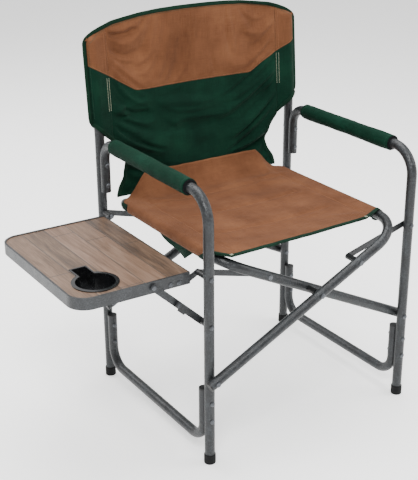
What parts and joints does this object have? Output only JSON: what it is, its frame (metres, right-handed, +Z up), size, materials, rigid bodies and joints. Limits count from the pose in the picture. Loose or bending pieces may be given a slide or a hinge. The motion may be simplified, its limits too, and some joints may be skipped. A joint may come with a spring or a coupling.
{
  "type": "folding camp chair",
  "caption": "Folding director's camp chair with cloth seat and back, padded arms, scissor rail frames and a drop-down side table with a cup holder.",
  "frame": {"origin": "point on the floor midway between the four feet", "axes": "+Z up, the sitter faces -Y, the side table is on the -X side"},
  "size_m": [0.824, 0.5284, 0.876],
  "materials": {
    "tube_paint": "hammered satin",
    "rim_metal": "satin paint",
    "bracket_black": "satin",
    "fastener_steel": "satin",
    "black_plastic": "matte",
    "cup_plastic": "gloss",
    "foot_rubber": "matte",
    "foam": "matte",
    "table_wood": "satin laminate",
    "pad_cloth": "woven",
    "seat_cloth": "woven",
    "back_cloth": "woven"
  },
  "bodies": {
    "left_side": {"left_arm_tube": "tube_paint", "left_back_post": "tube_paint", "left_runner": "tube_paint", "left_runner_plugs": "black_plastic", "left_feet": "foot_rubber", "left_tube_caps": "black_plastic", "left_arm_foam": "foam", "left_arm_cover": "pad_cloth", "left_arm_rivets": "fastener_steel", "left_runner_bolts": "fastener_steel", "left_pivot_bolts": "fastener_steel", "left_link_bolts": "fastener_steel", "left_spacers": "black_plastic", "strut_leg_bolts": "fastener_steel", "back_left": "back_cloth"},
    "arm_1": {"right_rail_frame": "tube_paint", "right_rail_plugs": "black_plastic", "cross_bolts": "fastener_steel", "cross_spacers": "black_plastic", "right_link_rivets": "fastener_steel", "right_link_sleeves": "black_plastic", "seat_right": "seat_cloth"},
    "arm_2": {"left_rail_frame": "tube_paint", "left_rail_plugs": "black_plastic", "left_link_rivets": "fastener_steel", "left_link_sleeves": "black_plastic", "seat_left": "seat_cloth"},
    "right_side": {"right_arm_tube": "tube_paint", "right_back_post": "tube_paint", "right_runner": "tube_paint", "right_runner_plugs": "black_plastic", "right_feet": "foot_rubber", "right_tube_caps": "black_plastic", "right_arm_foam": "foam", "right_arm_cover": "pad_cloth", "right_arm_rivets": "fastener_steel", "right_runner_bolts": "fastener_steel", "right_pivot_bolts": "fastener_steel", "right_link_bolts": "fastener_steel", "right_spacers": "black_plastic", "back_right": "back_cloth"},
    "left_links": {"left_link_front": "tube_paint", "left_link_rear": "tube_paint", "left_link_heads": "fastener_steel"},
    "right_links": {"right_link_front": "tube_paint", "right_link_rear": "tube_paint", "right_link_heads": "fastener_steel"},
    "table": {"table_board": "table_wood", "table_rim": "rim_metal", "table_edge_trim": "black_plastic", "table_hinge_tongues": "bracket_black", "table_rivets": "fastener_steel", "cup_holder": "cup_plastic", "strut_top_bolts": "fastener_steel"},
    "strut_lower": {"strut_lowers": "tube_paint", "strut_knuckle_heads": "fastener_steel", "strut_stop_tabs": "tube_paint"},
    "strut_upper": {"strut_uppers": "tube_paint", "strut_knuckles": "fastener_steel"}
  },
  "joints": [
    {"name": "fold", "type": "hinge", "parent": "left_side", "child": "arm_1", "pos_m": [-0.264, 0, 0.206], "axis": [0, -1, 0], "range_deg": [0, 39.6], "deforming": ["seat_left", "seat_right", "back_left", "back_right"]},
    {"name": "scissor_cross", "type": "hinge", "parent": "arm_1", "child": "arm_2", "pos_m": [0, 0, 0.337], "axis": [0, -1, 0], "range_deg": [-79.4, 0]},
    {"name": "right_side_pivot", "type": "hinge", "parent": "arm_2", "child": "right_side", "pos_m": [0.264, 0, 0.206], "axis": [0, -1, 0], "range_deg": [0, 39.7]},
    {"name": "left_link_pivot", "type": "hinge", "parent": "left_side", "child": "left_links", "pos_m": [-0.264, 0, 0.431], "axis": [0, -1, 0], "range_deg": [0, 79.06]},
    {"name": "right_link_pivot", "type": "hinge", "parent": "right_side", "child": "right_links", "pos_m": [0.264, 0, 0.431], "axis": [0, -1, 0], "range_deg": [-79.06, 0]},
    {"name": "table_fold", "type": "hinge", "parent": "left_side", "child": "table", "pos_m": [-0.264, 0, 0.431], "axis": [0, -1, 0], "range_deg": [0, 86]},
    {"name": "strut_lower_pivot", "type": "hinge", "parent": "left_side", "child": "strut_lower", "pos_m": [-0.264, 0, 0.32577], "axis": [0, -1, 0], "range_deg": [-47.01, 0]},
    {"name": "strut_upper_pivot", "type": "hinge", "parent": "table", "child": "strut_upper", "pos_m": [-0.369, 0, 0.424], "axis": [0, -1, 0], "range_deg": [0, 47.01]}
  ],
  "couplings": [
    {"joint": "scissor_cross", "follows": "fold", "ratio": -2},
    {"joint": "right_side_pivot", "follows": "fold", "ratio": 1},
    {"joint": "left_link_pivot", "follows": "fold", "ratio": 1.9915},
    {"joint": "right_link_pivot", "follows": "fold", "ratio": -1.9915},
    {"joint": "strut_lower_pivot", "follows": "table_fold", "ratio": -0.54425},
    {"joint": "strut_upper_pivot", "follows": "table_fold", "ratio": 0.54425}
  ]
}
